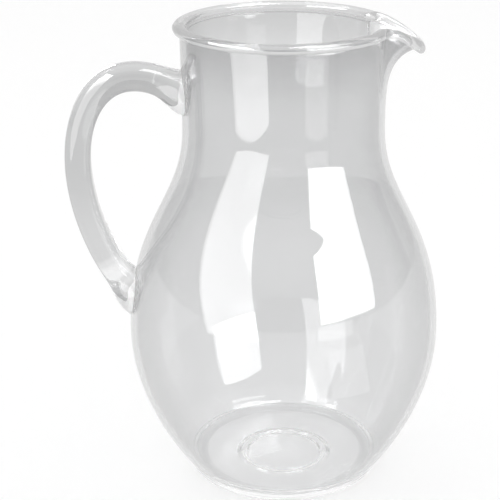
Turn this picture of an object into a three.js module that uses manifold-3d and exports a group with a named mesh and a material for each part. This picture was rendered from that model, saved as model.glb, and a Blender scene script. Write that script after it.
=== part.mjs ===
// Acrylic jug: a clear round-bellied body with a rolled rim and a pinched pouring spout,
// a base disc cemented under it, and a solid loop handle cemented to its neck and belly.
// Millimetres, +Z up. The jug's axis is Z and it stands on Z = 0. It pours towards +X,
// and its handle reaches towards -X.
import * as THREE from "three";
import { mergeVertices } from "three/addons/utils/BufferGeometryUtils.js";
import Module from "manifold-3d";

const wasm = await Module();
wasm.setup();

// Wall of the body: heights above the table or depths below the rim, and radii of its outer face
const jugHeight = 240;
const wallThickness = 3;
const footRadius = 51.7;
const bellyRadius = 80.3;
const bellyHeight = 79;
const waistRadius = 50.8;
const waistBelowRim = 56;
const throatRadius = 52.4;

// Curve handles of the wall: its lean from upright, and how far it runs before it bends
const footLean = THREE.MathUtils.degToRad(38);
const footPull = 22;
const bellyPullDown = 28.5;
const bellyPullUp = 58.5;
const waistPullDown = 40;
const waistPullUp = 18;
const throatLean = THREE.MathUtils.degToRad(4);
const throatPull = 16;

// Rim bead: an oval roll on the wall's top edge, overhanging its outer and inner faces
const beadHeight = 5;
const beadOutside = 2.3;
const beadInside = 0.7;

// Spout: the wall leans out and down over this angle and depth below the rim
const spoutReach = 15.5;
const spoutDip = 8.2;
const spoutDepth = 45;
const spoutHalfAngle = THREE.MathUtils.degToRad(24);
const spoutCurl = 3.4;
const spoutFullness = 0.6;

// Base disc: upright for a little way below the wall, then rounded in to the table,
// with a shallow ring groove in its underside
const baseThickness = 5.8;
const baseStepIn = 0.9;
const baseUpright = 0.9;
const grooveInnerRadius = 20.6;
const grooveWidth = 4.8;
const grooveDepth = 1;
const grooveSlope = 0.8;

// Handle: section of the bar, and its centreline in the XZ plane
const handleWidth = 19;
const handleThickness = 13.2;
const handleCornerRadius = 5;
const handleLeastFlat = 2;
const handleOutreach = 23;
const handleBackBelowRim = 69;
const upperRootBelowRim = 34;
const upperRootRise = THREE.MathUtils.degToRad(33);
const upperRootPull = 38.4;
const handleShoulderPull = 34;
const handleBackPull = 26;
const lowerRootAboveBelly = 23;
const lowerRootRise = THREE.MathUtils.degToRad(48);
const lowerRootPull = 19.5;
const rootFlareLength = 15;
const upperFlareThickness = 6;
const lowerFlareThickness = 6;
const rootFlareWidth = 6;
const cementGap = 0.3;

// Facets
const spoutSteps = 24;
const roundSteps = 56;
const latheSteps = 72;
const wallSteps = 8;
const beadSteps = 9;
const handleSteps = 15;
const cornerSteps = 3;
const edgeSteps = 3;
const weldDistance = 1e-4;

// Sizes that follow from those above
const throatHeight = jugHeight - beadHeight;
const waistHeight = jugHeight - waistBelowRim;
const beadWidth = wallThickness + beadOutside + beadInside;
const beadProud = (beadOutside - beadInside) / 2;
const baseRadius = footRadius - baseStepIn;
const baseEdgeRadius = baseThickness - baseUpright;
const grooveOuterRadius = grooveInnerRadius + grooveWidth;
const handleReach = bellyRadius + handleOutreach;
const handleBackHeight = jugHeight - handleBackBelowRim;
const upperRootHeight = jugHeight - upperRootBelowRim;
const lowerRootHeight = bellyHeight + lowerRootAboveBelly;

// A step of a given length in the radius-height plane, leaning out from upright
function leaningStep(lean, length) {
  return new THREE.Vector2(Math.sin(lean) * length, Math.cos(lean) * length);
}

// Outer face of the wall from the foot to the throat, before the spout is pinched
function wallCurves() {
  const foot = new THREE.Vector2(footRadius, baseThickness);
  const belly = new THREE.Vector2(bellyRadius, bellyHeight);
  const waist = new THREE.Vector2(waistRadius, waistHeight);
  const throat = new THREE.Vector2(throatRadius, throatHeight);
  const bend = (from, out, into, to) => new THREE.CubicBezierCurve(from, out, into, to);
  return [
    bend(
      foot,
      foot.clone().add(leaningStep(footLean, footPull)),
      new THREE.Vector2(bellyRadius, bellyHeight - bellyPullDown),
      belly,
    ),
    bend(
      belly,
      new THREE.Vector2(bellyRadius, bellyHeight + bellyPullUp),
      new THREE.Vector2(waistRadius, waistHeight - waistPullDown),
      waist,
    ),
    bend(
      waist,
      new THREE.Vector2(waistRadius, waistHeight + waistPullUp),
      throat.clone().sub(leaningStep(throatLean, throatPull)),
      throat,
    ),
  ];
}

// Stations on curves that run on from each other: a point and the direction of travel there
function stationsAlong(curves, stepsPerCurve) {
  const stations = [];
  curves.forEach((curve, index) => {
    for (let i = index === 0 ? 0 : 1; i <= stepsPerCurve; i += 1) {
      const t = i / stepsPerCurve;
      stations.push({ point: curve.getPoint(t), along: curve.getTangent(t) });
    }
  });
  return stations;
}

// Stations up the wall's outer face
function wallStations() {
  return stationsAlong(wallCurves(), wallSteps);
}

// The direction that leaves the wall's outer face
function outward(along) {
  return new THREE.Vector2(along.y, -along.x);
}

// How far the spout is drawn out at an angle from its own middle: 1 there, 0 past its sides
function spoutShare(angle) {
  const across = Math.min(Math.abs(angle) / spoutHalfAngle, 1);
  return (1 + Math.cos(Math.PI * across)) / 2;
}

// The middle of the wall at one station, drawn out and down where the spout is
function pinchedStation(station, share) {
  const middle = station.point.clone().addScaledVector(outward(station.along), -wallThickness / 2);
  const reach = spoutReach * share ** spoutFullness;
  const dip = spoutDip * share;
  const climb = Math.max(0, (middle.y - throatHeight + spoutDepth) / spoutDepth);
  const steepness = (spoutCurl * climb ** (spoutCurl - 1)) / spoutDepth;
  const along = new THREE.Vector2(
    station.along.x + reach * steepness * station.along.y,
    station.along.y * (1 - dip * steepness),
  ).normalize();
  middle.x += reach * climb ** spoutCurl;
  middle.y -= dip * climb ** spoutCurl;
  return { middle, along, across: outward(along) };
}

// The oval bead on the wall's top edge, from the outer face round to the inner one
function beadArc(top) {
  const centre = top.middle
    .clone()
    .addScaledVector(top.along, beadHeight / 2)
    .addScaledVector(top.across, beadProud);
  const first = -Math.acos((wallThickness / 2 - beadProud) / (beadWidth / 2));
  const last = 2 * Math.PI - Math.acos((-wallThickness / 2 - beadProud) / (beadWidth / 2));
  const points = [];
  for (let i = 0; i <= beadSteps; i += 1) {
    const angle = first + ((last - first) * i) / beadSteps;
    points.push(
      centre
        .clone()
        .addScaledVector(top.across, (beadWidth / 2) * Math.cos(angle))
        .addScaledVector(top.along, (beadHeight / 2) * Math.sin(angle)),
    );
  }
  return points;
}

// The wall's closed section at an angle from the spout: outer face, bead, inner face, flat foot
function wallSection(angle) {
  const share = spoutShare(angle);
  const stations = wallStations().map((station) => pinchedStation(station, share));
  const top = stations.pop();
  const offset = (station, distance) =>
    station.middle.clone().addScaledVector(station.across, distance);
  const outer = stations.map((station) => offset(station, wallThickness / 2));
  const inner = stations.map((station) => offset(station, -wallThickness / 2)).reverse();
  const footInside = new THREE.Vector2(
    footRadius - wallThickness / Math.cos(footLean),
    baseThickness,
  );
  return [...outer, ...beadArc(top), ...inner, footInside];
}

// Angles of the sections once round the jug, closer together across the spout
function sectionAngles() {
  const angles = [];
  for (let i = 0; i < spoutSteps; i += 1) {
    angles.push(spoutHalfAngle * ((2 * i) / spoutSteps - 1));
  }
  const rest = 2 * (Math.PI - spoutHalfAngle);
  for (let i = 0; i < roundSteps; i += 1) {
    angles.push(spoutHalfAngle + (rest * i) / roundSteps);
  }
  return angles;
}

// A skin over equal closed rings: joined end to end, or closed by a cap at each end
function loft(rings, capped) {
  const size = rings[0].length;
  const positions = rings.flat().flatMap((point) => point.toArray());
  const triangles = [];
  const strips = capped ? rings.length - 1 : rings.length;
  for (let ring = 0; ring < strips; ring += 1) {
    const here = ring * size;
    const next = ((ring + 1) % rings.length) * size;
    for (let i = 0; i < size; i += 1) {
      const j = (i + 1) % size;
      triangles.push(here + i, next + i, next + j, here + i, next + j, here + j);
    }
  }
  if (capped) {
    const last = (rings.length - 1) * size;
    for (let i = 1; i < size - 1; i += 1) {
      triangles.push(0, i, i + 1, last, last + i + 1, last + i);
    }
  }
  const geometry = new THREE.BufferGeometry();
  geometry.setAttribute("position", new THREE.Float32BufferAttribute(positions, 3));
  geometry.setIndex(triangles);
  return geometry;
}

function solidFrom(geometry) {
  const bare = new THREE.BufferGeometry();
  bare.setAttribute("position", geometry.getAttribute("position"));
  bare.setIndex(geometry.getIndex());
  const merged = mergeVertices(bare, weldDistance);
  return new wasm.Manifold(
    new wasm.Mesh({
      numProp: 3,
      vertProperties: new Float32Array(merged.getAttribute("position").array),
      triVerts: new Uint32Array(merged.getIndex().array),
    }),
  );
}

function geometryFrom(solid) {
  const mesh = solid.getMesh();
  const geometry = new THREE.BufferGeometry();
  geometry.setAttribute("position", new THREE.BufferAttribute(mesh.vertProperties, 3));
  geometry.setIndex(new THREE.BufferAttribute(mesh.triVerts, 1));
  return geometry;
}

// A profile turned about the jug's axis
function turned(profile) {
  return new THREE.LatheGeometry(profile, latheSteps).rotateX(Math.PI / 2);
}

function bodyShell() {
  const rings = sectionAngles().map((angle) =>
    wallSection(angle).map(
      (point) =>
        new THREE.Vector3(point.x * Math.cos(angle), point.x * Math.sin(angle), point.y),
    ),
  );
  return loft(rings, false);
}

function baseDisc() {
  const profile = [
    new THREE.Vector2(0, 0),
    new THREE.Vector2(grooveInnerRadius, 0),
    new THREE.Vector2(grooveInnerRadius + grooveSlope, grooveDepth),
    new THREE.Vector2(grooveOuterRadius - grooveSlope, grooveDepth),
    new THREE.Vector2(grooveOuterRadius, 0),
  ];
  for (let i = 0; i <= edgeSteps; i += 1) {
    const turn = (Math.PI / 2) * (i / edgeSteps);
    profile.push(
      new THREE.Vector2(
        baseRadius - baseEdgeRadius * (1 - Math.sin(turn)),
        baseEdgeRadius * (1 - Math.cos(turn)),
      ),
    );
  }
  profile.push(new THREE.Vector2(baseRadius, baseThickness), new THREE.Vector2(0, baseThickness));
  return turned(profile);
}

// The solid that the handle's ends are cut back from: the jug's outside, grown by the cement gap
function bondingForm() {
  const skin = wallStations().map((station) =>
    station.point.clone().addScaledVector(outward(station.along), cementGap),
  );
  const bottom = new THREE.Vector2(0, skin[0].y);
  const top = new THREE.Vector2(0, skin[skin.length - 1].y);
  return turned([bottom, ...skin, top]);
}

// Radius of the wall's outer face at a height
function wallRadius(height) {
  const points = wallStations().map((station) => station.point);
  const above = points.findIndex((point) => point.y >= height);
  const low = points[above - 1];
  const high = points[above];
  return THREE.MathUtils.mapLinear(height, low.y, high.y, low.x, high.x);
}

// The handle's centreline as distance from the axis and height, from its upper root to its lower
function handleCurves() {
  const direction = (rise) => new THREE.Vector2(Math.cos(rise), Math.sin(rise));
  const upper = new THREE.Vector2(wallRadius(upperRootHeight), upperRootHeight);
  const back = new THREE.Vector2(handleReach, handleBackHeight);
  const lower = new THREE.Vector2(wallRadius(lowerRootHeight), lowerRootHeight);
  return [
    new THREE.CubicBezierCurve(
      upper,
      upper.clone().addScaledVector(direction(upperRootRise), upperRootPull),
      new THREE.Vector2(handleReach, handleBackHeight + handleShoulderPull),
      back,
    ),
    new THREE.CubicBezierCurve(
      back,
      new THREE.Vector2(handleReach, handleBackHeight - handleBackPull),
      lower.clone().addScaledVector(direction(lowerRootRise), lowerRootPull),
      lower,
    ),
  ];
}

// How much of a root's flare is left at a distance from the root
function flareShare(distance) {
  return Math.max(0, 1 - distance / rootFlareLength) ** 2;
}

// One section of the bar: a rounded rectangle across the centreline
function handleSection(station, width, thickness) {
  const across = outward(station.along);
  const radius = Math.min(
    handleCornerRadius,
    (width - handleLeastFlat) / 2,
    (thickness - handleLeastFlat) / 2,
  );
  const ring = [];
  for (let corner = 0; corner < 4; corner += 1) {
    const sideways = corner === 0 || corner === 3 ? 1 : -1;
    const outside = corner < 2 ? 1 : -1;
    for (let i = 0; i <= cornerSteps; i += 1) {
      const turn = (Math.PI / 2) * (corner + i / cornerSteps);
      const y = sideways * (width / 2 - radius) + radius * Math.cos(turn);
      const off = outside * (thickness / 2 - radius) + radius * Math.sin(turn);
      const point = station.point.clone().addScaledVector(across, off);
      ring.push(new THREE.Vector3(-point.x, -y, point.y));
    }
  }
  return ring;
}

// The bar, flared at its roots and run on into the wall there, then cut back to the bonded faces
function handle() {
  const stations = stationsAlong(handleCurves(), handleSteps);
  const upper = stations[0];
  const lower = stations[stations.length - 1];
  const rings = stations.map((station) => {
    const nearUpper = flareShare(station.point.distanceTo(upper.point));
    const nearLower = flareShare(station.point.distanceTo(lower.point));
    return handleSection(
      station,
      handleWidth + rootFlareWidth * (nearUpper + nearLower),
      handleThickness + upperFlareThickness * nearUpper + lowerFlareThickness * nearLower,
    );
  });
  const runOn = (ring, along, distance) => {
    const step = new THREE.Vector3(-along.x, 0, along.y).multiplyScalar(distance);
    return ring.map((point) => point.clone().add(step));
  };
  const upperEnd = runOn(rings[0], upper.along, -handleThickness);
  const lowerEnd = runOn(rings[rings.length - 1], lower.along, handleThickness);
  const bar = loft([upperEnd, ...rings, lowerEnd], true);
  return geometryFrom(solidFrom(bar).subtract(solidFrom(bondingForm())));
}

function clearAcrylic(color) {
  return new THREE.MeshStandardMaterial({
    color,
    roughness: 0.05,
    metalness: 0,
    transparent: true,
    opacity: 0.35,
    side: THREE.DoubleSide,
  });
}

function piece(name, geometry, color) {
  geometry.computeVertexNormals();
  const mesh = new THREE.Mesh(geometry, clearAcrylic(color));
  mesh.name = name;
  return mesh;
}

const jug = new THREE.Group();
jug.name = "acrylic_jug";
jug.add(
  piece("body_shell", bodyShell(), 0xe3e6e8),
  piece("base_disc", baseDisc(), 0xe6e9ea),
  piece("handle", handle(), 0xdde0e3),
);

export default jug;
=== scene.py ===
"""Acrylic jug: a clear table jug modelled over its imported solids, laid out as an add-on.

The frame says where the solids are. The body, the base disc and the handle are modelled again in
the same places, smooth and in clear acrylic, and stand on a white table between a softbox on the
right and a reflector board on the left.
Lengths are in metres. The jug's axis is Z, it pours towards +X and its handle is at -X.
"""
import math

import bmesh
import bpy
from bpy.props import FloatProperty, FloatVectorProperty, IntProperty, PointerProperty
from mathutils import Matrix, Vector


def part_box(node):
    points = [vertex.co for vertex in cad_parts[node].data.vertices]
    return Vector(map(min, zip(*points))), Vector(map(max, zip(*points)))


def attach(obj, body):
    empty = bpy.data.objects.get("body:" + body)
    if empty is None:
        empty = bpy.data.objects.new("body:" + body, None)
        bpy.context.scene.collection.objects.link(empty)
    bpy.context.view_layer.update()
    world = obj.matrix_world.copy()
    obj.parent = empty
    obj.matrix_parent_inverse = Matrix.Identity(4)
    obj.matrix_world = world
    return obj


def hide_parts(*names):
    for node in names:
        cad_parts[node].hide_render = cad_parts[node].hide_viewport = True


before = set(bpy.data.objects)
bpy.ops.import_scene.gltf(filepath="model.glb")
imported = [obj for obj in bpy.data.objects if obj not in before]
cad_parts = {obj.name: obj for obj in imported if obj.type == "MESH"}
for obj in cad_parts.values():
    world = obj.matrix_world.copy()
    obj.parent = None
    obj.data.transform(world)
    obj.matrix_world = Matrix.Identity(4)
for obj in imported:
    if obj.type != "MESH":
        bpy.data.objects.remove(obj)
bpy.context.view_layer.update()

bl_info = {
    "name": "Acrylic Jug",
    "version": (1, 0, 0),
    "blender": (4, 5, 0),
    "location": "3D View > Sidebar > Jug",
    "description": "Builds a clear acrylic jug with a pinched spout and a loop handle",
    "category": "Add Mesh",
}

BODY_LOW, BODY_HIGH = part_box("body_shell")
_, BASE_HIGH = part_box("base_disc")
HANDLE_LOW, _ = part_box("handle")

BODY = "root"
UP = Vector((0, 0, 1))
SENSOR_WIDTH_MM = 36
ROUND_PROFILE = 0.5
SMOOTH_DEGREES = 40
DISC_SMOOTH_DEGREES = 30
GROOVE_DEGREES = 15
TRAPPED_BOUNCES = 2.5


def length(name, description, default):
    """A length in metres that a user may change."""
    return FloatProperty(
        name=name, description=description, default=default, min=0, precision=4, unit="LENGTH"
    )


def angle(name, description, degrees):
    """An angle that a user may change."""
    return FloatProperty(
        name=name, description=description, default=math.radians(degrees), subtype="ANGLE"
    )


def amount(name, description, default):
    """A plain number that a user may change."""
    return FloatProperty(name=name, description=description, default=default, min=0, precision=3)


def count(name, description, default):
    """A whole number that a user may change."""
    return IntProperty(name=name, description=description, default=default, min=1)


def colour(name, description, default):
    """A colour that a user may change."""
    return FloatVectorProperty(
        name=name, description=description, default=default, min=0, max=1, size=3, subtype="COLOR"
    )


class JugBodySettings(bpy.types.PropertyGroup):
    """Sizes of the moulded wall, its rim bead and its spout"""

    height: length("Height", "From the table to the top of the rim", 0.24)
    thickness: length("Wall", "Thickness of the wall", 0.003)
    foot_height: length("Foot height", "Underside of the wall above the table", BODY_LOW.z)
    foot_radius: length("Foot radius", "Outer radius of the wall at its foot", 0.0517)
    belly_radius: length("Belly radius", "Outer radius at the widest place", BODY_HIGH.y)
    belly_height: length("Belly height", "Height of the widest place", 0.079)
    waist_radius: length("Waist radius", "Outer radius at the narrowest place", 0.0509)
    waist_below_rim: length("Waist below rim", "Depth of the narrowest place", 0.0525)
    throat_radius: length("Throat radius", "Outer radius under the rim bead", 0.0512)
    foot_sink: length("Foot sink", "How far the cemented foot melts into the base disc", 0.0005)
    fillet: length("Fillet", "Reach of the rounding between the wall and the floor", 0.006)
    fillet_steps: count("Fillet steps", "Sections round the fillet", 10)
    foot_lean: angle("Foot lean", "Lean of the wall from upright at its foot", 38)
    foot_pull: length("Foot pull", "How far the wall keeps its lean at the foot", 0.022)
    belly_pull_down: length("Belly pull down", "Upright run below the belly", 0.0285)
    belly_pull_up: length("Belly pull up", "Upright run above the belly", 0.0585)
    waist_pull_down: length("Waist pull down", "Upright run below the waist", 0.04)
    waist_pull_up: length("Waist pull up", "Upright run above the waist", 0.018)
    throat_lean: angle("Throat lean", "Lean of the wall from upright at the throat", 0.3)
    throat_pull: length("Throat pull", "How far the wall keeps its lean at the throat", 0.016)
    bead_height: length("Bead height", "Height of the rim bead", 0.005)
    bead_outside: length("Bead outside", "Overhang of the bead on the outer face", 0.0035)
    bead_inside: length("Bead inside", "Overhang of the bead on the inner face", 0.0007)
    spout_reach: length("Spout reach", "How far the spout leans out", 0.0155)
    spout_dip: length("Spout dip", "How far the lip sinks below the rim", 0.0082)
    spout_depth: length("Spout depth", "How far down the wall the spout starts", 0.045)
    spout_half_angle: angle("Spout half angle", "Half of the spout's width round the rim", 24)
    spout_curl: amount("Spout curl", "How late up the wall the spout turns out", 3.4)
    spout_fullness: amount("Spout fullness", "How round the spout is across, less is fuller", 0.6)
    wall_steps: count("Wall steps", "Sections along each curve of the wall", 36)
    bead_steps: count("Bead steps", "Sections round the bead", 20)
    round_steps: count("Round steps", "Sections round the jug", 192)


class JugBaseSettings(bpy.types.PropertyGroup):
    """Sizes of the base disc"""

    radius: length("Radius", "Outer radius of the disc", BASE_HIGH.x)
    thickness: length("Thickness", "Thickness of the disc", BASE_HIGH.z)
    upright: length("Upright", "Upright edge above the rounded one", 0.0009)
    groove_radius: length("Groove radius", "Inner radius of the ring groove underneath", 0.0206)
    groove_width: length("Groove width", "Width of the ring groove", 0.0048)
    groove_depth: length("Groove depth", "Depth of the ring groove", 0.0012)
    hollow_depth: length("Hollow depth", "Depth of the hollow inside the groove", 0.0007)
    hollow_slope: length("Hollow slope", "How far the hollow's side leans", 0.0016)
    soft_edge: length("Soft edge", "Rounding of the groove's edges", 0.0003)
    soft_edge_steps: count("Soft edge steps", "Sections round the groove's edges", 4)
    edge_steps: count("Edge steps", "Sections round the disc's edge", 12)
    round_steps: count("Round steps", "Sections round the disc", 160)


class JugHandleSettings(bpy.types.PropertyGroup):
    """Sizes of the handle's bar and of its route"""

    width: length("Width", "Width of the bar", 0.019)
    thickness: length("Thickness", "Thickness of the bar", 0.0132)
    corner: length("Corner", "Rounding of the bar's corners", 0.005)
    corner_steps: count("Corner steps", "Sections round each corner", 4)
    outer_reach: length("Outer reach", "From the jug's axis to the bar's back", -HANDLE_LOW.x)
    back_below_rim: length("Back below rim", "Depth of the place that reaches furthest", 0.069)
    upper_root_below_rim: length("Upper root", "Depth of the upper root", 0.034)
    upper_root_rise: angle("Upper root rise", "Climb of the bar at its upper root", 33)
    upper_root_pull: length("Upper root pull", "Straight run from the upper root", 0.0384)
    shoulder_pull: length("Shoulder pull", "Upright run above the back", 0.034)
    back_pull: length("Back pull", "Upright run below the back", 0.026)
    lower_root_above_belly: length("Lower root", "Height over the belly's widest place", 0.023)
    lower_root_rise: angle("Lower root rise", "Climb of the bar at its lower root", 48)
    lower_root_pull: length("Lower root pull", "Straight run from the lower root", 0.0195)
    flare_length: length("Flare length", "How far from a root its flare starts", 0.015)
    flare_thickness: length("Flare thickness", "How much thicker a root is", 0.006)
    flare_width: length("Flare width", "How much wider a root is", 0.009)
    joint: length("Joint", "Bond line between the handle and the wall", 0.0003)
    route_steps: count("Route steps", "Sections along each half of the bar", 15)
    smooth_levels: count("Smooth levels", "Times that the bar's faces are split and smoothed", 2)


class JugFinishSettings(bpy.types.PropertyGroup):
    """Finish of the clear acrylic, with light and shade painted into its tints"""

    # The rim, neck, belly and foot tints make the wall paler at the foot and greyer towards the rim:
    # painted light and painted shade, as the wall is equally thick all the way up.
    shaded_rim_tint: colour("Rim tint", "Light left by the wall at the rim", (0.625, 0.627, 0.63))
    neck_tint: colour("Neck tint", "Light left by the wall of the neck", (0.78, 0.782, 0.785))
    belly_tint: colour("Belly tint", "Light left by the wall of the belly", (0.858, 0.86, 0.863))
    lit_foot_tint: colour("Foot tint", "Light left by the fillet at the foot", (0.9, 0.902, 0.905))
    bead_tint: colour("Bead tint", "Light left by the rim bead", (0.78, 0.782, 0.785))
    # Painted light: the base disc gets a paler tint than the wall of the same acrylic, so that it
    # reads bright.
    base_tint: colour("Base tint", "Light left by the base disc", (0.96, 0.962, 0.965))
    handle_tint: colour("Handle tint", "Light left by the solid handle", (0.562, 0.564, 0.567))
    # Painted light: the upper tint makes the handle's upward faces paler.
    lit_top_tint: colour("Upper tint", "Light left by the handle's upper side", (0.69, 0.692, 0.695))
    # Painted light: the lower tint makes the handle's lower end paler.
    lit_lower_end_tint: colour("Lower tint", "Light left by the handle's lower end", (0.655, 0.657, 0.66))
    # Painted light: the root tint makes the handle paler round its lower bond.
    lit_root_tint: colour("Root tint", "Light left by the handle's lower root", (0.88, 0.882, 0.885))
    wall_edge: amount("Wall edge", "Share of the wall's tint that is left edge on", 0.6)
    bead_edge: amount("Bead edge", "Share of the bead's tint that is left edge on", 0.45)
    handle_edge: amount("Handle edge", "Share of the handle's tint that is left edge on", 0.6)
    # The glows are painted light: the acrylic emits them where a ray has bounced inside it more than
    # twice.
    wall_glow: amount("Wall glow", "Brightness of the light trapped in the wall", 0.62)
    bead_glow: amount("Bead glow", "Brightness of the light trapped in the bead", 0.8)
    base_glow: amount("Base glow", "Brightness of the light trapped in the base disc", 1)
    handle_glow: amount("Handle glow", "Brightness of the light trapped in the handle", 0.7)
    refraction: amount("Refraction", "Index of refraction of acrylic", 1.49)
    polish: amount("Polish", "Least roughness of the surface", 0.012)
    haze: amount("Haze", "Roughness where hands and cloths have dulled it", 0.05)


class JugStageSettings(bpy.types.PropertyGroup):
    """Table, light and camera"""

    camera_turn: angle("Camera turn", "Camera's place round the jug, from square to the handle", 5)
    camera_distance: length("Camera distance", "From the jug's axis, over the table", 0.73)
    camera_height: length("Camera height", "Above the table", 0.3949)
    camera_pitch: angle("Camera pitch", "How far the camera looks down", 20.62)
    lens: amount("Lens", "Focal length in millimetres on a 36 mm sensor", 108.44)
    frame_shift: amount("Frame shift", "How far right of the middle the jug stands", 0.0672)
    table_size: length("Table size", "Side of the white table", 30)
    table_drop: length("Table drop", "Air between the table and the jug's underside", 0.0002)
    sweep_distance: length("Sweep distance", "From the jug to the white sweep behind it", 1.6)
    sweep_width: length("Sweep width", "Width of the white sweep", 6)
    sweep_height: length("Sweep height", "Height of the white sweep", 2)
    white: colour("White", "Colour of the table and the sweep", (0.82, 0.82, 0.82))
    glow: amount("Glow", "Share of the white that doesn't depend on the lamps", 0.7)
    table_light: amount("Table light", "Brightness of the lit table", 1.09)
    sweep_light: amount("Sweep light", "Brightness of the lit sweep", 0.95)
    room: amount("Room", "Brightness of the room's walls", 0.5)
    ceiling: amount("Ceiling", "Brightness of the room's ceiling", 1.2)
    ceiling_start: amount("Ceiling start", "Climb of a ray where the ceiling starts", 0.3)
    ceiling_full: amount("Ceiling full", "Climb of a ray where the ceiling is brightest", 0.6)
    softbox: amount("Softbox", "Brightness of the softbox on the right", 8)
    apron: amount("Apron", "Brightness of the dim card under the softbox", 2)
    # Painted reflection: the glare card mirrors a lit patch of table by the softbox.
    glare: amount("Glare", "Brightness of the table by the softbox, as mirrored", 2)
    top_light: amount("Top light", "Brightness of the softbox overhead", 8)
    top_light_side: length("Top light side", "Side of the softbox overhead", 0.6)
    board: amount("Board", "Brightness of the reflector board on the left", 4.4)
    board_rise: amount("Board rise", "How many times brighter the board's top is", 3.5)
    fade_low: length("Fade low", "Height where the board starts to brighten", 0.34)
    fade_high: length("Fade high", "Height where the board is brightest", 0.46)


class JugSettings(bpy.types.PropertyGroup):
    """All of the jug's settings"""

    body: PointerProperty(type=JugBodySettings)
    base: PointerProperty(type=JugBaseSettings)
    handle: PointerProperty(type=JugHandleSettings)
    finish: PointerProperty(type=JugFinishSettings)
    stage: PointerProperty(type=JugStageSettings)


# Curves in the plane of radius and height

def leaning(lean, distance):
    """A step of a given length, leaning out from upright."""
    return Vector((math.sin(lean) * distance, math.cos(lean) * distance))


def rising(rise, distance):
    """A step of a given length, climbing from level."""
    return Vector((math.cos(rise) * distance, math.sin(rise) * distance))


def outward(along):
    """The direction to the right of the way along."""
    return Vector((along.y, -along.x))


def bezier_station(curve, t):
    """The point and the direction of travel at t on a curve of four control points."""
    a, b, c, d = curve
    s = 1 - t
    point = a * s**3 + b * (3 * s * s * t) + c * (3 * s * t * t) + d * t**3
    along = (b - a) * (s * s) + (c - b) * (2 * s * t) + (d - c) * (t * t)
    return point, along.normalized()


def stations_along(curves, steps):
    """Stations on curves that run on from each other, with none twice."""
    stations = [bezier_station(curves[0], 0)]
    for curve in curves:
        stations += [bezier_station(curve, i / steps) for i in range(1, steps + 1)]
    return stations


def wall_stations(body):
    """Stations up the outer face of the wall, before the spout is pinched."""
    foot = Vector((body.foot_radius, body.foot_height))
    belly = Vector((body.belly_radius, body.belly_height))
    waist = Vector((body.waist_radius, body.height - body.waist_below_rim))
    throat = Vector((body.throat_radius, body.height - body.bead_height))
    curves = [
        (
            foot,
            foot + leaning(body.foot_lean, body.foot_pull),
            belly - Vector((0, body.belly_pull_down)),
            belly,
        ),
        (
            belly,
            belly + Vector((0, body.belly_pull_up)),
            waist - Vector((0, body.waist_pull_down)),
            waist,
        ),
        (
            waist,
            waist + Vector((0, body.waist_pull_up)),
            throat - leaning(body.throat_lean, body.throat_pull),
            throat,
        ),
    ]
    stations = stations_along(curves, body.wall_steps)
    _, along = stations[0]
    return [(foot - along * body.foot_sink, along), *stations]


def wall_radius(body, height):
    """Radius of the wall's outer face at a height."""
    points = [point for point, _ in wall_stations(body)]
    for low, high in zip(points, points[1:]):
        if low.y <= height <= high.y:
            return low.x + (high.x - low.x) * (height - low.y) / (high.y - low.y)
    raise ValueError(f"the wall doesn't reach a height of {height} m")


# Turned forms

def spin_round(bm, profile, steps):
    """Turns a profile once round the jug's axis."""
    bmesh.ops.spin(
        bm,
        geom=profile,
        cent=(0, 0, 0),
        axis=UP,
        angle=2 * math.pi,
        steps=steps,
        use_merge=True,
    )


def turned_solid(profile, steps, merge_distance):
    """A solid turned from a half section that starts and ends on the axis."""
    bm = bmesh.new()
    verts = [bm.verts.new((point.x, 0, point.y)) for point in profile]
    edges = [bm.edges.new(pair) for pair in zip(verts, verts[1:])]
    spin_round(bm, verts + edges, steps)
    bmesh.ops.remove_doubles(bm, verts=bm.verts, dist=merge_distance)
    bmesh.ops.recalc_face_normals(bm, faces=bm.faces)
    return bm


# Body

def spout_share(body, turn):
    """How far the spout is drawn out at an angle from its middle: 1 there, 0 past its sides."""
    across = min(abs(turn) / body.spout_half_angle, 1)
    return (1 + math.cos(math.pi * across)) / 2


def pinched(body, station, share):
    """Middle of the wall, the way up it and the way out of it, where the spout has its share."""
    point, along = station
    middle = point - outward(along) * (body.thickness / 2)
    start = body.height - body.bead_height - body.spout_depth
    climb = max(0, (middle.y - start) / body.spout_depth)
    steepness = body.spout_curl * climb ** (body.spout_curl - 1) / body.spout_depth
    reach = body.spout_reach * share**body.spout_fullness
    dip = body.spout_dip * share
    drawn = Vector((reach, -dip)) * climb**body.spout_curl
    way = along + Vector((reach, -dip)) * (steepness * along.y)
    way.normalize()
    return middle + drawn, way, outward(way)


def foot_fillet(body, inner, along):
    """The rounding between the inner face and the floor, from the wall to just under the floor."""
    under_floor = body.foot_sink / 5
    floor = body.foot_height - under_floor
    corner = inner + along * ((floor - inner.y) / along.y)
    wall_end = corner + along * body.fillet
    floor_end = corner - Vector((body.fillet, 0))
    points = []
    for i in range(body.fillet_steps + 1):
        t = i / body.fillet_steps
        points.append(wall_end * (1 - t) ** 2 + corner * (2 * t * (1 - t)) + floor_end * t**2)
    return points


def wall_section(body, stations):
    """The wall's closed section, each point as (station, distance up, distance out)."""
    half = body.thickness / 2
    last = len(stations) - 1
    section = [(i, 0, half) for i in range(last)]
    width = body.thickness + body.bead_outside + body.bead_inside
    proud = (body.bead_outside - body.bead_inside) / 2
    first_turn = -math.acos((half - proud) / (width / 2))
    last_turn = 2 * math.pi - math.acos((-half - proud) / (width / 2))
    for i in range(body.bead_steps + 1):
        turn = first_turn + (last_turn - first_turn) * i / body.bead_steps
        up = body.bead_height / 2 * (1 + math.sin(turn))
        section.append((last, up, proud + width / 2 * math.cos(turn)))
    middle, along, across = pinched(body, stations[0], 0)
    fillet = foot_fillet(body, middle - across * half, along)
    for i in reversed(range(last)):
        inner, _, out = pinched(body, stations[i], 0)
        if (inner - out * half).y > fillet[0].y:
            section.append((i, 0, -half))
    section += [(0, (point - middle).dot(along), (point - middle).dot(across)) for point in fillet]
    return section


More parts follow.
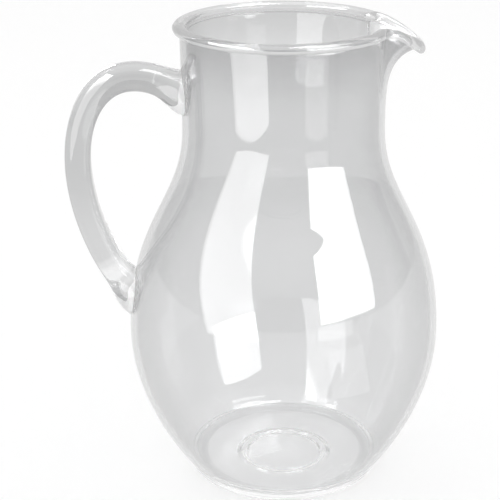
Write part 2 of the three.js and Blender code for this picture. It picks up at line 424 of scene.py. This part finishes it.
def body_mesh(body):
    """The wall turned round the axis, then drawn out into the spout; the bead is finish 1."""
    stations = wall_stations(body)
    section = wall_section(body, stations)
    bead = [index for index, (station, _, _) in enumerate(section) if station == len(stations) - 1]
    bm = bmesh.new()
    place = bm.verts.layers.int.new("place_in_section")
    for index, (station, up, out) in enumerate(section):
        middle, along, across = pinched(body, stations[station], 0)
        point = middle + along * up + across * out
        vert = bm.verts.new((point.x, 0, point.y))
        vert[place] = index
    ring = bm.verts[:]
    edges = [bm.edges.new(pair) for pair in zip(ring, ring[1:] + ring[:1])]
    spin_round(bm, ring + edges, body.round_steps)
    for vert in bm.verts:
        turn = math.atan2(vert.co.y, vert.co.x)
        share = spout_share(body, turn)
        if share > 0:
            station, up, out = section[vert[place]]
            middle, along, across = pinched(body, stations[station], share)
            point = middle + along * up + across * out
            vert.co = (point.x * math.cos(turn), point.x * math.sin(turn), point.y)
    for face in bm.faces:
        face.material_index = int(all(vert[place] in bead for vert in face.verts))
    bmesh.ops.recalc_face_normals(bm, faces=bm.faces)
    return bm


# Base disc

def base_profile(base):
    """The disc's half section from the axis underneath to the axis on top."""
    top = base.thickness
    edge = base.thickness - base.upright
    inner = base.groove_radius
    outer = base.groove_radius + base.groove_width
    profile = [
        Vector((0, base.hollow_depth)),
        Vector((inner - base.hollow_slope, base.hollow_depth)),
        Vector((inner, 0)),
        Vector(((inner + outer) / 2, base.groove_depth)),
        Vector((outer, 0)),
    ]
    for i in range(base.edge_steps + 1):
        turn = math.pi / 2 * i / base.edge_steps
        profile.append(
            Vector((base.radius - edge * (1 - math.sin(turn)), edge * (1 - math.cos(turn))))
        )
    return profile + [Vector((base.radius, top)), Vector((0, top))]


def base_mesh(base):
    """The disc turned from its half section, with the groove's edges softened."""
    bm = turned_solid(base_profile(base), base.round_steps, base.soft_edge / 100)
    limit = base.groove_radius + base.groove_width + base.soft_edge
    sharp = [
        edge
        for edge in bm.edges
        if edge.is_manifold
        and edge.calc_face_angle() > math.radians(GROOVE_DEGREES)
        and max(vert.co.xy.length for vert in edge.verts) < limit
    ]
    bmesh.ops.bevel(
        bm,
        geom=sharp,
        offset=base.soft_edge,
        offset_type="OFFSET",
        affect="EDGES",
        segments=base.soft_edge_steps,
        profile=ROUND_PROFILE,
        material=-1,
    )
    return bm


# Handle

def handle_stations(body, handle):
    """Stations down the middle of the bar, as distance from the axis and height."""
    upper_height = body.height - handle.upper_root_below_rim
    lower_height = body.belly_height + handle.lower_root_above_belly
    upper = Vector((wall_radius(body, upper_height), upper_height))
    lower = Vector((wall_radius(body, lower_height), lower_height))
    reach = handle.outer_reach - handle.thickness / 2
    back = Vector((reach, body.height - handle.back_below_rim))
    curves = [
        (
            upper,
            upper + rising(handle.upper_root_rise, handle.upper_root_pull),
            back + Vector((0, handle.shoulder_pull)),
            back,
        ),
        (
            back,
            back - Vector((0, handle.back_pull)),
            lower + rising(handle.lower_root_rise, handle.lower_root_pull),
            lower,
        ),
    ]
    stations = stations_along(curves, handle.route_steps)
    run_on = handle.thickness
    first, last = stations[0], stations[-1]
    sunk_first = (first[0] - first[1] * run_on, first[1])
    sunk_last = (last[0] + last[1] * run_on, last[1])
    return [sunk_first, *stations, sunk_last]


def bar_frame(station):
    """Places a section on the bar: X across its thickness, Y across its width."""
    point, along = station
    across = outward(along)
    return Matrix(
        (
            (-across.x, 0, -along.x, -point.x),
            (0, -1, 0, 0),
            (across.y, 0, along.y, point.y),
            (0, 0, 0, 1),
        )
    )


def flare_share(handle, distance):
    """How much of a root's flare is left at a distance from the root."""
    return max(0, 1 - distance / handle.flare_length) ** 2


def bar_sizes(handle, stations):
    """How many times thicker and wider than its section the bar is at each station."""
    upper, lower = stations[1][0], stations[-2][0]
    sizes = []
    for point, _ in stations[1:-1]:
        near = flare_share(handle, (point - upper).length)
        near += flare_share(handle, (point - lower).length)
        thicker = 1 + handle.flare_thickness * near / handle.thickness
        wider = 1 + handle.flare_width * near / handle.width
        sizes.append(Matrix.Diagonal((thicker, wider, 1, 1)))
    return [sizes[0], *sizes, sizes[-1]]


def bar_mesh(body, handle):
    """The bar: a rounded rectangle drawn along its route, run on into the wall at both ends."""
    stations = handle_stations(body, handle)
    places = [
        bar_frame(station) @ size for station, size in zip(stations, bar_sizes(handle, stations))
    ]
    bm = bmesh.new()
    bmesh.ops.create_grid(bm, x_segments=1, y_segments=1, size=0.5)
    bmesh.ops.scale(bm, vec=(handle.thickness, handle.width, 1), verts=bm.verts)
    bmesh.ops.bevel(
        bm,
        geom=bm.verts[:],
        offset=handle.corner,
        offset_type="OFFSET",
        affect="VERTICES",
        segments=handle.corner_steps,
        profile=ROUND_PROFILE,
        material=-1,
    )
    bmesh.ops.transform(bm, matrix=places[0], verts=bm.verts)
    end = bm.verts[:] + bm.edges[:] + bm.faces[:]
    for here, there in zip(places, places[1:]):
        end = bmesh.ops.extrude_face_region(bm, geom=end)["geom"]
        verts = [item for item in end if isinstance(item, bmesh.types.BMVert)]
        bmesh.ops.transform(bm, matrix=there @ here.inverted(), verts=verts)
    bmesh.ops.recalc_face_normals(bm, faces=bm.faces)
    return bm


def bonding_mesh(body, handle):
    """The jug's outside as a solid, grown by the bond line, to cut the bar's ends with."""
    skin = [point + outward(along) * handle.joint for point, along in wall_stations(body)]
    profile = [Vector((0, skin[0].y)), *skin, Vector((0, skin[-1].y))]
    return turned_solid(profile, body.round_steps, handle.joint / 100)


# Objects

def new_object(name, bm):
    """An object at the origin with the finished mesh."""
    mesh = bpy.data.meshes.new(name)
    bm.to_mesh(mesh)
    bm.free()
    made = bpy.data.objects.new(name, mesh)
    bpy.context.scene.collection.objects.link(made)
    return made


def dress(piece, node, *materials):
    """Gives a piece its finishes, its body and the node that it stands for."""
    for material in materials:
        piece.data.materials.append(material)
    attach(piece, BODY)
    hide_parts(node)


def shade_smooth(piece, sharp_degrees):
    """Smooth shading, broken where faces meet at a sharper angle."""
    piece.data.shade_smooth()
    piece.data.set_sharp_from_angle(angle=math.radians(sharp_degrees))


# Materials

def new_material(name):
    """A new material with its nodes and links."""
    material = bpy.data.materials.new(name)
    material.use_nodes = True
    return material, material.node_tree.nodes, material.node_tree.links


def map_range(nodes, low, high, to_low=0, to_high=1, smooth=False):
    """A node that maps a value from one range to another."""
    node = nodes.new("ShaderNodeMapRange")
    if smooth:
        node.interpolation_type = "SMOOTHSTEP"
    node.inputs["From Min"].default_value = low
    node.inputs["From Max"].default_value = high
    node.inputs["To Min"].default_value = to_low
    node.inputs["To Max"].default_value = to_high
    return node


def new_group(name, inputs, outputs):
    """An empty shader node group with float sockets."""
    group = bpy.data.node_groups.new(name, "ShaderNodeTree")
    for socket, default in inputs:
        made = group.interface.new_socket(socket, in_out="INPUT", socket_type="NodeSocketFloat")
        made.default_value = default
    for socket in outputs:
        group.interface.new_socket(socket, in_out="OUTPUT", socket_type="NodeSocketFloat")
    return group


def haze_group():
    """Roughness that wanders between polished and dulled, as on a jug in use."""
    name = "Handling haze"
    if name in bpy.data.node_groups:
        return bpy.data.node_groups[name]
    group = new_group(name, [("Polish", 0.01), ("Haze", 0.05), ("Scale", 40)], ["Roughness"])
    nodes, links = group.nodes, group.links
    given = nodes.new("NodeGroupInput")
    place = nodes.new("ShaderNodeTexCoord")
    clouds = nodes.new("ShaderNodeTexNoise")
    clouds.inputs["Detail"].default_value = 6
    clouds.inputs["Roughness"].default_value = 0.62
    ramp = map_range(nodes, 0.45, 0.8)
    out = nodes.new("NodeGroupOutput")
    links.new(place.outputs["Object"], clouds.inputs["Vector"])
    links.new(given.outputs["Scale"], clouds.inputs["Scale"])
    links.new(clouds.outputs["Fac"], ramp.inputs["Value"])
    links.new(given.outputs["Polish"], ramp.inputs["To Min"])
    links.new(given.outputs["Haze"], ramp.inputs["To Max"])
    links.new(ramp.outputs["Result"], out.inputs["Roughness"])
    return group


def ripple_group():
    """The slow waviness that a moulded wall keeps, drawn out upwards."""
    name = "Moulding ripple"
    if name in bpy.data.node_groups:
        return bpy.data.node_groups[name]
    group = new_group(name, [("Scale", 30), ("Draw", 0.25)], ["Height"])
    nodes, links = group.nodes, group.links
    given = nodes.new("NodeGroupInput")
    place = nodes.new("ShaderNodeTexCoord")
    stretch = nodes.new("ShaderNodeCombineXYZ")
    stretch.inputs["X"].default_value = 1
    stretch.inputs["Y"].default_value = 1
    mapping = nodes.new("ShaderNodeMapping")
    waves = nodes.new("ShaderNodeTexNoise")
    waves.inputs["Detail"].default_value = 1
    out = nodes.new("NodeGroupOutput")
    links.new(given.outputs["Draw"], stretch.inputs["Z"])
    links.new(place.outputs["Object"], mapping.inputs["Vector"])
    links.new(stretch.outputs["Vector"], mapping.inputs["Scale"])
    links.new(mapping.outputs["Vector"], waves.inputs["Vector"])
    links.new(given.outputs["Scale"], waves.inputs["Scale"])
    links.new(waves.outputs["Fac"], out.inputs["Height"])
    return group


def acrylic(name, finish, tint, painted_glow_strength, ripple_scale, ripple_draw, ripple_depth):
    """Clear acrylic with haze and ripple; a ray that has bounced inside it more than twice ends in a
    painted grey glow.
    """
    material, nodes, links = new_material(name)
    shader = nodes["Principled BSDF"]
    shader.inputs["Base Color"].default_value = (*tint, 1)
    shader.inputs["IOR"].default_value = finish.refraction
    shader.inputs["Transmission Weight"].default_value = 1
    haze = nodes.new("ShaderNodeGroup")
    haze.node_tree = haze_group()
    haze.inputs["Polish"].default_value = finish.polish
    haze.inputs["Haze"].default_value = finish.haze
    ripple = nodes.new("ShaderNodeGroup")
    ripple.node_tree = ripple_group()
    ripple.inputs["Scale"].default_value = ripple_scale
    ripple.inputs["Draw"].default_value = ripple_draw
    bump = nodes.new("ShaderNodeBump")
    bump.inputs["Strength"].default_value = 1
    bump.inputs["Distance"].default_value = ripple_depth
    links.new(haze.outputs["Roughness"], shader.inputs["Roughness"])
    links.new(ripple.outputs["Height"], bump.inputs["Height"])
    links.new(bump.outputs["Normal"], shader.inputs["Normal"])
    # Painted light: past a few glossy bounces the acrylic glows a flat grey.
    path = nodes.new("ShaderNodeLightPath")
    trapped = nodes.new("ShaderNodeMath")
    trapped.operation = "GREATER_THAN"
    trapped.inputs[1].default_value = TRAPPED_BOUNCES
    painted_glow = nodes.new("ShaderNodeEmission")
    painted_glow.inputs["Strength"].default_value = painted_glow_strength
    mix = nodes.new("ShaderNodeMixShader")
    links.new(path.outputs["Glossy Depth"], trapped.inputs[0])
    links.new(trapped.outputs[0], mix.inputs[0])
    links.new(shader.outputs[0], mix.inputs[1])
    links.new(painted_glow.outputs[0], mix.inputs[2])
    links.new(mix.outputs[0], nodes["Material Output"].inputs["Surface"])
    return material


def cement():
    """The whitish film of cement in a bond line, with faint mottling and a painted glow that makes
    the bond lines bright.
    """
    name = "glowing_cement_film"
    if name in bpy.data.materials:
        return bpy.data.materials[name]
    material, nodes, links = new_material(name)
    shader = nodes["Principled BSDF"]
    shader.inputs["Roughness"].default_value = 0.4
    # Painted light: the cement glows so that the bond lines show bright.
    shader.inputs["Emission Strength"].default_value = 0.35
    place = nodes.new("ShaderNodeTexCoord")
    mottle = nodes.new("ShaderNodeTexNoise")
    mottle.inputs["Scale"].default_value = 150
    ramp = map_range(nodes, 0, 1, 0.7, 0.85)
    links.new(place.outputs["Object"], mottle.inputs["Vector"])
    links.new(mottle.outputs["Fac"], ramp.inputs["Value"])
    links.new(ramp.outputs["Result"], shader.inputs["Base Color"])
    links.new(ramp.outputs["Result"], shader.inputs["Emission Color"])
    return material


def wall_tint_and_shade_group(body, finish):
    """The wall's tint by height, palest at the foot and greyest at the rim: painted light low down
    and painted shade up at the rim.
    """
    group = bpy.data.node_groups.new("Wall tint", "ShaderNodeTree")
    group.interface.new_socket("Tint", in_out="OUTPUT", socket_type="NodeSocketColor")
    nodes, links = group.nodes, group.links
    place = nodes.new("ShaderNodeTexCoord")
    parts = nodes.new("ShaderNodeSeparateXYZ")
    climb = map_range(nodes, 0, body.height)
    ramp = nodes.new("ShaderNodeValToRGB")
    ramp.color_ramp.interpolation = "EASE"
    # Painted light and shade: the stops pale the wall at the foot and grey it towards the rim.
    stops = [
        (body.foot_height + body.fillet / 2, finish.lit_foot_tint),
        (body.belly_height / 4, finish.belly_tint),
        (body.height - body.waist_below_rim * 0.7, finish.neck_tint),
        (body.height - body.bead_height, finish.shaded_rim_tint),
    ]
    while len(ramp.color_ramp.elements) < len(stops):
        ramp.color_ramp.elements.new(0.5)
    for element, (height, tint) in zip(ramp.color_ramp.elements, stops):
        element.position = height / body.height
        element.color = (*tint, 1)
    out = nodes.new("NodeGroupOutput")
    links.new(place.outputs["Object"], parts.inputs["Vector"])
    links.new(parts.outputs["Z"], climb.inputs["Value"])
    links.new(climb.outputs["Result"], ramp.inputs["Fac"])
    links.new(ramp.outputs["Color"], out.inputs["Tint"])
    return group


def mix_over_base(material, blend_type):
    """Puts a colour mix between the shader and what feeds its base colour."""
    nodes, links = material.node_tree.nodes, material.node_tree.links
    tint = nodes["Principled BSDF"].inputs["Base Color"]
    mix = nodes.new("ShaderNodeMix")
    mix.data_type = "RGBA"
    mix.blend_type = blend_type
    if tint.is_linked:
        links.new(tint.links[0].from_socket, mix.inputs["A"])
    else:
        mix.inputs["A"].default_value = tint.default_value
    links.new(mix.outputs["Result"], tint)
    return mix


def lay_tint(material, tint, share):
    """Lays a tint over the base colour, by the share that a socket gives."""
    mix = mix_over_base(material, "MIX")
    mix.inputs["B"].default_value = (*tint, 1)
    material.node_tree.links.new(share, mix.inputs["Factor"])


def darken_edges(material, share):
    """Takes the tint down where the surface is seen edge on, as the longer way through does."""
    nodes, links = material.node_tree.nodes, material.node_tree.links
    facing = nodes.new("ShaderNodeLayerWeight")
    edge_on = map_range(nodes, 0.35, 1, 1, share)
    mix = mix_over_base(material, "MULTIPLY")
    mix.inputs["Factor"].default_value = 1
    links.new(facing.outputs["Facing"], edge_on.inputs["Value"])
    links.new(edge_on.outputs["Result"], mix.inputs["B"])


def shade_wall(material, jug):
    """Paints light and shade into the wall's tint by height, and darkens it edge on."""
    nodes, links = material.node_tree.nodes, material.node_tree.links
    wall_tint = nodes.new("ShaderNodeGroup")
    wall_tint.node_tree = wall_tint_and_shade_group(jug.body, jug.finish)
    links.new(wall_tint.outputs["Tint"], nodes["Principled BSDF"].inputs["Base Color"])
    darken_edges(material, jug.finish.wall_edge)


def shade_bar(material, jug):
    """Paints light into the bar's tint: paler on its upward faces, at its lower end and round its
    lower bond.
    """
    nodes, links = material.node_tree.nodes, material.node_tree.links
    finish, handle = jug.finish, jug.handle
    flare = handle.flare_length
    bond_reach = flare * 0.75
    root, _ = handle_stations(jug.body, handle)[-2]
    bond = root + rising(handle.lower_root_rise, bond_reach)
    place = nodes.new("ShaderNodeTexCoord")
    spot = nodes.new("ShaderNodeSeparateXYZ")
    facing = nodes.new("ShaderNodeSeparateXYZ")
    away = nodes.new("ShaderNodeVectorMath")
    away.operation = "DISTANCE"
    away.inputs[1].default_value = (-bond.x, 0, bond.y)
    low_down = map_range(nodes, bond.y + flare * 4, bond.y + flare, smooth=True)
    upward = map_range(nodes, 0.45, 0.8, smooth=True)
    at_bond = map_range(nodes, flare * 0.9, bond_reach, smooth=True)
    links.new(place.outputs["Object"], spot.inputs["Vector"])
    links.new(spot.outputs["Z"], low_down.inputs["Value"])
    links.new(place.outputs["Normal"], facing.inputs["Vector"])
    links.new(facing.outputs["Z"], upward.inputs["Value"])
    links.new(place.outputs["Object"], away.inputs[0])
    links.new(away.outputs["Value"], at_bond.inputs["Value"])
    # Painted light: the bar turns paler towards its lower end.
    lay_tint(material, finish.lit_lower_end_tint, low_down.outputs["Result"])
    # Painted light: faces that look up get the paler upper tint.
    lay_tint(material, finish.lit_top_tint, upward.outputs["Result"])
    # Painted light: the bar turns paler still round its lower bond.
    lay_tint(material, finish.lit_root_tint, at_bond.outputs["Result"])
    darken_edges(material, finish.handle_edge)


# Stage

def camera_axes(stage):
    """The camera's way right and way forward over the table."""
    turn = stage.camera_turn
    right = Vector((math.cos(turn), -math.sin(turn), 0))
    forward = Vector((math.sin(turn), math.cos(turn), 0))
    return right, forward


def add_camera(stage):
    """The camera at the photograph's viewing angle."""
    right, forward = camera_axes(stage)
    look = forward * math.cos(stage.camera_pitch) - UP * math.sin(stage.camera_pitch)
    camera = bpy.data.objects.new("camera", bpy.data.cameras.new("camera"))
    camera.data.lens = stage.lens
    camera.data.sensor_width = SENSOR_WIDTH_MM
    camera.data.shift_x = -stage.frame_shift
    camera.location = UP * stage.camera_height - forward * stage.camera_distance
    camera.rotation_euler = look.to_track_quat("-Z", "Y").to_euler()
    bpy.context.scene.collection.objects.link(camera)
    bpy.context.scene.camera = camera


def white_paper(stage, name, brightness):
    """White paper: even white to the eye and in the acrylic, with a share that takes shadow."""
    material, nodes, links = new_material(name)
    nodes.clear()
    matt = nodes.new("ShaderNodeBsdfDiffuse")
    matt.inputs["Color"].default_value = (*stage.white, 1)
    glow = nodes.new("ShaderNodeEmission")
    glow.inputs["Color"].default_value = (1, 1, 1, 1)
    glow.inputs["Strength"].default_value = brightness
    path = nodes.new("ShaderNodeLightPath")
    seen = nodes.new("ShaderNodeMath")
    seen.operation = "ADD"
    shown = nodes.new("ShaderNodeMath")
    shown.operation = "ADD"
    shown.use_clamp = True
    weight = nodes.new("ShaderNodeMath")
    weight.operation = "MULTIPLY"
    weight.inputs[1].default_value = stage.glow
    mix = nodes.new("ShaderNodeMixShader")
    out = nodes.new("ShaderNodeOutputMaterial")
    links.new(path.outputs["Is Camera Ray"], seen.inputs[0])
    links.new(path.outputs["Is Glossy Ray"], seen.inputs[1])
    links.new(seen.outputs[0], shown.inputs[0])
    links.new(path.outputs["Is Transmission Ray"], shown.inputs[1])
    links.new(shown.outputs[0], weight.inputs[0])
    links.new(weight.outputs[0], mix.inputs[0])
    links.new(matt.outputs[0], mix.inputs[1])
    links.new(glow.outputs[0], mix.inputs[2])
    links.new(mix.outputs[0], out.inputs["Surface"])
    return material


def add_paper(stage):
    """The white table that the jug stands on, and the white sweep behind it."""
    _, forward = camera_axes(stage)
    bm = bmesh.new()
    bmesh.ops.create_grid(bm, x_segments=1, y_segments=1, size=stage.table_size / 2)
    bmesh.ops.translate(bm, vec=-UP * stage.table_drop, verts=bm.verts)
    table = new_object("table", bm)
    table.data.materials.append(white_paper(stage, "white_table", stage.table_light))
    bm = bmesh.new()
    bmesh.ops.create_grid(bm, x_segments=1, y_segments=1, size=0.5)
    bmesh.ops.scale(bm, vec=(stage.sweep_width, stage.sweep_height, 1), verts=bm.verts)
    upright = forward.to_track_quat("-Z", "Y").to_matrix()
    bmesh.ops.rotate(bm, cent=(0, 0, 0), matrix=upright, verts=bm.verts)
    middle = forward * stage.sweep_distance + UP * stage.sweep_height / 2
    bmesh.ops.translate(bm, vec=middle, verts=bm.verts)
    sweep = new_object("sweep", bm)
    sweep.data.materials.append(white_paper(stage, "lit_sweep", stage.sweep_light))


def stage_point(stage, azimuth, distance, height):
    """A place round the jug, by its angle right of the camera in degrees."""
    right, forward = camera_axes(stage)
    turn = math.radians(azimuth)
    return (right * math.sin(turn) - forward * math.cos(turn)) * distance + UP * height


def add_card(stage, name, corners, low_light, high_light):
    """A lit card by its corners' angle, distance and height, seen in the acrylic alone."""
    bm = bmesh.new()
    bm.faces.new([bm.verts.new(stage_point(stage, *corner)) for corner in corners])
    card = new_object(name, bm)
    material, nodes, links = new_material(name)
    nodes.clear()
    place = nodes.new("ShaderNodeTexCoord")
    parts = nodes.new("ShaderNodeSeparateXYZ")
    fade = map_range(nodes, stage.fade_low, stage.fade_high, low_light, high_light)
    glow = nodes.new("ShaderNodeEmission")
    out = nodes.new("ShaderNodeOutputMaterial")
    links.new(place.outputs["Object"], parts.inputs["Vector"])
    links.new(parts.outputs["Z"], fade.inputs["Value"])
    links.new(fade.outputs["Result"], glow.inputs["Strength"])
    links.new(glow.outputs[0], out.inputs["Surface"])
    card.data.materials.append(material)
    card.visible_camera = False
    card.visible_diffuse = False
    return card


def add_cards(stage):
    """The softbox on the right, the card under it, a card that paints the lit table by it into the
    reflections, and the board on the left.
    """
    softbox = [(25, 0.521, 0.127), (66, 0.515, 0.127), (72.5, 0.54, 0.352), (25, 0.521, 0.412)]
    apron = [(23, 0.521, 0.055), (48, 0.521, 0.055), (48, 0.521, 0.117), (23, 0.521, 0.117)]
    glare = [(29, 0.18, 0.001), (54, 0.18, 0.001), (54, 0.56, 0.001), (29, 0.56, 0.001)]
    board = [(-15.5, 0.52, 0.06), (-52, 0.52, 0.055), (-112, 0.52, 0.8), (-40, 0.52, 0.8)]
    add_card(stage, "softbox", softbox, stage.softbox, stage.softbox)
    add_card(stage, "apron", apron, stage.apron, stage.apron)
    # Painted reflection: this card stands for the lit table by the softbox and shows only in mirror
    # reflections.
    table_reflection_card = add_card(stage, "glare", glare, stage.glare, stage.glare)
    table_reflection_card.visible_transmission = False
    add_card(stage, "board", board, stage.board, stage.board_rise * stage.board)


def add_top_light(stage):
    """The softbox overhead, to the right."""
    azimuth, distance, height = 78, 0.36, 1.05
    lamp = bpy.data.lights.new("top_light", "AREA")
    lamp.size = stage.top_light_side
    lamp.energy = stage.top_light * math.pi * stage.top_light_side**2
    box = bpy.data.objects.new("top_light", lamp)
    box.location = stage_point(stage, azimuth, distance, height)
    box.rotation_euler.z = math.radians(azimuth)
    box.visible_diffuse = False
    bpy.context.scene.collection.objects.link(box)


def set_room(stage):
    """The grey room with its lighter ceiling."""
    world = bpy.data.worlds.new("room")
    world.use_nodes = True
    nodes, links = world.node_tree.nodes, world.node_tree.links
    background = nodes["Background"]
    background.inputs["Color"].default_value = (1, 1, 1, 1)
    way = nodes.new("ShaderNodeTexCoord")
    parts = nodes.new("ShaderNodeSeparateXYZ")
    climb = map_range(nodes, stage.ceiling_start, stage.ceiling_full, stage.room, stage.ceiling)
    links.new(way.outputs["Generated"], parts.inputs["Vector"])
    links.new(parts.outputs["Z"], climb.inputs["Value"])
    links.new(climb.outputs["Result"], background.inputs["Strength"])
    bpy.context.scene.world = world


# Operators and panel

class JUG_OT_stage(bpy.types.Operator):
    """Sets the white table, the lights, the room and the camera"""

    bl_idname = "jug.stage"
    bl_label = "Set Stage"

    def execute(self, context):
        stage = context.scene.jug.stage
        context.scene.view_settings.view_transform = "Standard"
        add_camera(stage)
        add_paper(stage)
        set_room(stage)
        add_cards(stage)
        add_top_light(stage)
        return {"FINISHED"}


class JUG_OT_body(bpy.types.Operator):
    """Builds the moulded wall with its rim bead and spout"""

    bl_idname = "jug.body"
    bl_label = "Build Body"

    def execute(self, context):
        jug = context.scene.jug
        finish = jug.finish
        piece = new_object("jug_body", body_mesh(jug.body))
        shade_smooth(piece, SMOOTH_DEGREES)
        material = acrylic(
            "body_acrylic",
            finish,
            finish.neck_tint,
            finish.wall_glow,
            ripple_scale=22,
            ripple_draw=0.3,
            ripple_depth=0.0004,
        )
        shade_wall(material, jug)
        bead = acrylic(
            "bead_acrylic",
            finish,
            finish.bead_tint,
            finish.bead_glow,
            ripple_scale=22,
            ripple_draw=0.3,
            ripple_depth=0.0002,
        )
        darken_edges(bead, finish.bead_edge)
        dress(piece, "body_shell", material, bead)
        return {"FINISHED"}


class JUG_OT_base(bpy.types.Operator):
    """Builds the base disc"""

    bl_idname = "jug.base"
    bl_label = "Build Base"

    def execute(self, context):
        jug = context.scene.jug
        piece = new_object("jug_base", base_mesh(jug.base))
        shade_smooth(piece, DISC_SMOOTH_DEGREES)
        material = acrylic(
            "base_acrylic",
            jug.finish,
            jug.finish.base_tint,
            jug.finish.base_glow,
            ripple_scale=30,
            ripple_draw=1,
            ripple_depth=0.0001,
        )
        dress(piece, "base_disc", material)
        return {"FINISHED"}


class JUG_OT_handle(bpy.types.Operator):
    """Builds the loop handle, cut to the wall at its roots"""

    bl_idname = "jug.handle"
    bl_label = "Build Handle"

    def execute(self, context):
        jug = context.scene.jug
        material = acrylic(
            "handle_acrylic",
            jug.finish,
            jug.finish.handle_tint,
            jug.finish.handle_glow,
            ripple_scale=25,
            ripple_draw=0.6,
            ripple_depth=0.0003,
        )
        shade_bar(material, jug)
        piece = new_object("jug_handle", bar_mesh(jug.body, jug.handle))
        piece.data.materials.append(material)
        cutter = new_object("bonding_form", bonding_mesh(jug.body, jug.handle))
        cutter.data.materials.append(cement())
        smooth = piece.modifiers.new("Smooth", "SUBSURF")
        smooth.levels = smooth.render_levels = jug.handle.smooth_levels
        cut = piece.modifiers.new("Cut to the wall", "BOOLEAN")
        cut.operation = "DIFFERENCE"
        cut.solver = "EXACT"
        cut.material_mode = "TRANSFER"
        cut.object = cutter
        context.view_layer.update()
        finished = bpy.data.meshes.new_from_object(
            piece.evaluated_get(context.evaluated_depsgraph_get())
        )
        piece.modifiers.clear()
        piece.data = finished
        bpy.data.objects.remove(cutter)
        shade_smooth(piece, SMOOTH_DEGREES)
        dress(piece, "handle")
        return {"FINISHED"}


class JUG_PT_panel(bpy.types.Panel):
    """The jug's pieces in the sidebar"""

    bl_idname = "JUG_PT_panel"
    bl_label = "Acrylic Jug"
    bl_space_type = "VIEW_3D"
    bl_region_type = "UI"
    bl_category = "Jug"

    def draw(self, context):
        for operator in OPERATORS:
            self.layout.operator(operator.bl_idname)


SETTINGS = (
    JugBodySettings,
    JugBaseSettings,
    JugHandleSettings,
    JugFinishSettings,
    JugStageSettings,
    JugSettings,
)
OPERATORS = (JUG_OT_stage, JUG_OT_body, JUG_OT_base, JUG_OT_handle)
CLASSES = (*SETTINGS, *OPERATORS, JUG_PT_panel)


def register():
    """Registers the classes and hangs the settings on the scene."""
    for cls in CLASSES:
        bpy.utils.register_class(cls)
    bpy.types.Scene.jug = PointerProperty(type=JugSettings)


def unregister():
    """Takes the settings off the scene and unregisters the classes."""
    del bpy.types.Scene.jug
    for cls in reversed(CLASSES):
        bpy.utils.unregister_class(cls)


def main():
    """Builds the jug and its stage."""
    register()
    bpy.ops.jug.stage()
    bpy.ops.jug.body()
    bpy.ops.jug.base()
    bpy.ops.jug.handle()


if __name__ == "__main__":
    main()
